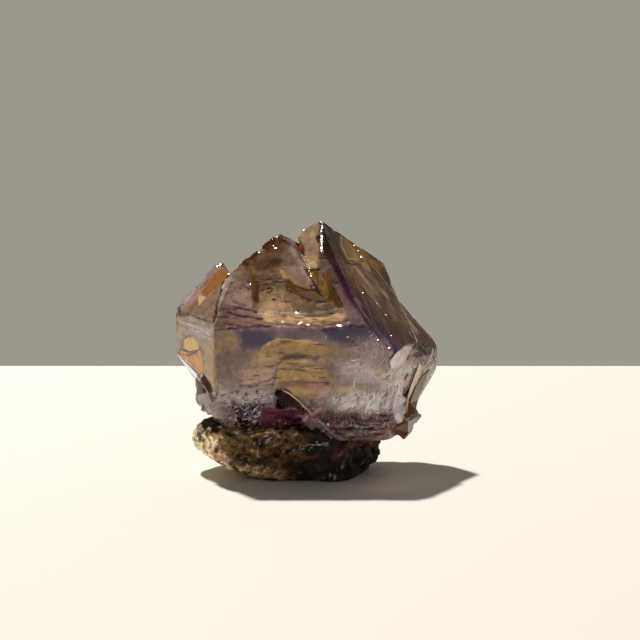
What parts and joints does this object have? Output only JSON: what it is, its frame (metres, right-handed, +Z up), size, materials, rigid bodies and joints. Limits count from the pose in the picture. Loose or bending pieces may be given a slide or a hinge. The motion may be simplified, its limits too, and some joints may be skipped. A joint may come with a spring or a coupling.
{
  "type": "amethyst on matrix",
  "caption": "Cluster of pale smoky amethyst crystals with iron-stained faces, grown side by side on a flat-footed lump of brown volcanic rock.",
  "frame": {"origin": "middle of the footprint, on the surface that the rock stands on", "axes": "+Z up, -Y towards the broad front face of the crystals, +X to the right as seen from the front"},
  "size_m": [0.0666, 0.0384, 0.063],
  "materials": {
    "amethyst": "natural growth faces, clear to smoky, with amber iron staining and violet zones",
    "basalt": "rough weathered dark brown rock with tan crust"
  },
  "bodies": {
    "root": {"crystal_cluster": "amethyst", "basalt_matrix": "basalt"}
  },
  "joints": []
}
